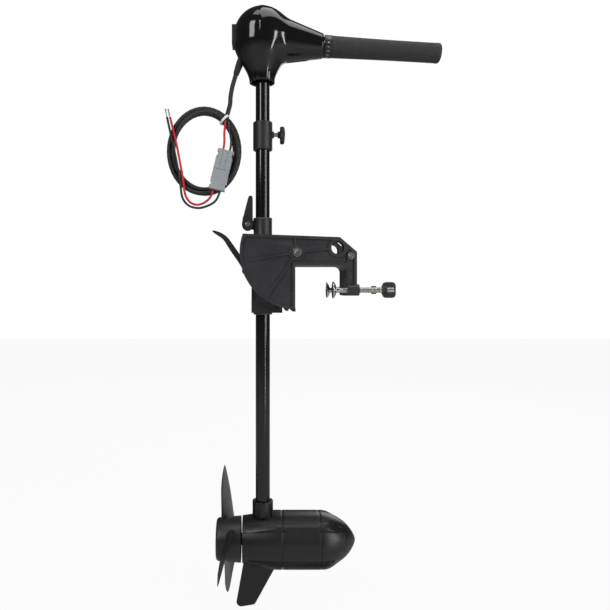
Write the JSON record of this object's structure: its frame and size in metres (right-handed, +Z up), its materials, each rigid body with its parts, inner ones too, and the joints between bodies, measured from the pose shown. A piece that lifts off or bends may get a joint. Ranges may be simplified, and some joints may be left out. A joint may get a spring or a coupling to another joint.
{
  "type": "outboard trolling motor",
  "caption": "Black transom-mount electric trolling motor with a screw-clamp bracket, tilting carrier, twist-grip control head, coiled supply lead and a propeller pod.",
  "frame": {"origin": "middle of the seat under the bracket's arm, where the motor rests on top of the transom", "axes": "+X from the shaft towards the boat, along the handle; +Y to the left of somebody facing +X; +Z up along the shaft"},
  "size_m": [0.4892, 0.2107, 1.0655],
  "materials": {
    "gloss_housing": "polished moulded housing",
    "shaft_finish": "gloss black coated tube",
    "bracket_casting": "satin glass-filled moulding",
    "grip_rubber": "knurled soft grip",
    "seal_rubber": "plain moulded rubber",
    "pod_coat": "satin coated casting",
    "blade_plastic": "satin moulding",
    "stainless": "plain stainless",
    "steel": "turned steel",
    "winding": "wound core with copper bars",
    "ferrite": "sintered magnet",
    "bush_plastic": "plain low-friction moulding",
    "connector_plastic": "plain grey moulding",
    "cable_sheath": "woven-look black sheath",
    "wire_red": "smooth red insulation",
    "wire_black": "smooth black insulation",
    "tie_white": "plain white tie",
    "tinned": "tinned strands"
  },
  "bodies": {
    "bracket": {"bracket_side_right": "bracket_casting", "bracket_side_left": "bracket_casting", "transom_saddle": "bracket_casting", "pivot_bolt": "stainless", "pivot_nut": "stainless", "leg_screw": "stainless", "leg_nut": "stainless"},
    "pad_right": {"clamp_pad_right": "stainless"},
    "screw_right": {"clamp_screw_right": "stainless", "clamp_wing_right": "bracket_casting"},
    "pad_left": {"clamp_pad_left": "stainless"},
    "screw_left": {"clamp_screw_left": "stainless", "clamp_wing_left": "bracket_casting"},
    "carrier": {"tilt_carrier": "bracket_casting", "cam_pin": "stainless", "tilt_lever_pin": "stainless"},
    "clamp_lever": {"cam_lever": "bracket_casting"},
    "release_lever": {"tilt_lever": "bracket_casting"},
    "bushes": {"upper_bush": "bush_plastic", "lower_bush": "bush_plastic"},
    "shaft": {"shaft_tube": "shaft_finish", "motor_lead": "cable_sheath", "head_shell_right": "gloss_housing", "head_shell_left": "gloss_housing", "battery_meter": "bracket_casting", "speed_switch": "bush_plastic", "handle_tube": "steel", "cable_gland": "seal_rubber", "motor_rear_housing": "pod_coat", "motor_middle_housing": "pod_coat", "motor_nose": "pod_coat", "magnet_right": "ferrite", "magnet_left": "ferrite", "brush_plate": "bush_plastic", "rear_bearing": "steel", "front_bearing": "steel", "shaft_seal": "seal_rubber", "supply_cable": "cable_sheath", "supply_coil": "cable_sheath", "cable_tie": "tie_white", "lead_red": "wire_red", "lead_black": "wire_black", "connector_upper": "connector_plastic", "connector_lower": "connector_plastic", "battery_lead_red": "wire_red", "battery_lead_black": "wire_black", "terminal_red": "tinned", "terminal_black": "tinned"},
    "collar": {"depth_collar": "bracket_casting"},
    "collar_pad_body": {"collar_pad": "bush_plastic"},
    "collar_screw_body": {"collar_screw": "steel", "collar_knob": "bracket_casting"},
    "twist_grip": {"grip_core": "bracket_casting", "grip_rubber": "grip_rubber", "switch_rod": "steel"},
    "rotor": {"propeller": "blade_plastic", "prop_nut": "stainless", "drive_pin": "stainless", "motor_shaft": "steel", "armature": "winding"}
  },
  "joints": [
    {"name": "tilt", "type": "hinge", "parent": "bracket", "child": "carrier", "pos_m": [-0.0323, 0, 0.0216], "axis": [0, 1, 0], "range_deg": [0, 75]},
    {"name": "steer", "type": "hinge", "parent": "carrier", "child": "bushes", "pos_m": [-0.09, 0, -0.0025], "axis": [0, 0, 1], "range_deg": [-180, 180]},
    {"name": "depth", "type": "slide", "parent": "bushes", "child": "shaft", "axis": [0, 0, 1], "range_m": [-0.04, 0.26]},
    {"name": "cam_lever", "type": "hinge", "parent": "carrier", "child": "clamp_lever", "pos_m": [-0.117, 0, 0.0735], "axis": [0, -1, 0], "range_deg": [0, 85]},
    {"name": "tilt_release", "type": "hinge", "parent": "carrier", "child": "release_lever", "pos_m": [-0.12, 0, -0.0085], "axis": [0, -1, 0], "range_deg": [0, 15], "stiffness_Nm_per_rad": 0.5},
    {"name": "collar_slide", "type": "slide", "parent": "shaft", "child": "collar", "axis": [0, 0, -1], "range_m": [-0.068, 0.118]},
    {"name": "collar_pad_slide", "type": "slide", "parent": "collar", "child": "collar_pad_body", "axis": [1, 0, 0], "range_m": [0, 0.003]},
    {"name": "collar_knob", "type": "hinge", "parent": "collar_pad_body", "child": "collar_screw_body", "pos_m": [-0.06, 0, 0.2335], "axis": [1, 0, 0], "range_deg": [-9, 1089]},
    {"name": "pad_right_slide", "type": "slide", "parent": "bracket", "child": "pad_right", "axis": [-1, 0, 0], "range_m": [-0.015, 0.038]},
    {"name": "clamp_right", "type": "hinge", "parent": "pad_right", "child": "screw_right", "pos_m": [0.09, -0.046, -0.0425], "axis": [-1, 0, 0], "range_deg": [-2736, 6876]},
    {"name": "pad_left_slide", "type": "slide", "parent": "bracket", "child": "pad_left", "axis": [-1, 0, 0], "range_m": [-0.015, 0.038]},
    {"name": "clamp_left", "type": "hinge", "parent": "pad_left", "child": "screw_left", "pos_m": [0.09, 0.046, -0.0425], "axis": [-1, 0, 0], "range_deg": [-2736, 6876]},
    {"name": "twist_grip", "type": "hinge", "parent": "shaft", "child": "twist_grip", "pos_m": [0.017, 0, 0.391], "axis": [0.9982, 0, -0.0593], "range_deg": [-60, 100]},
    {"name": "propeller", "type": "hinge", "parent": "shaft", "child": "rotor", "pos_m": [-0.09, 0, -0.4855], "axis": [1, 0, 0], "continuous": true}
  ],
  "couplings": [
    {"joint": "collar_knob", "follows": "collar_pad_slide", "rad_per_m": 6283.2},
    {"joint": "clamp_right", "follows": "pad_right_slide", "rad_per_m": 3141.6},
    {"joint": "clamp_left", "follows": "pad_left_slide", "rad_per_m": 3141.6}
  ]
}
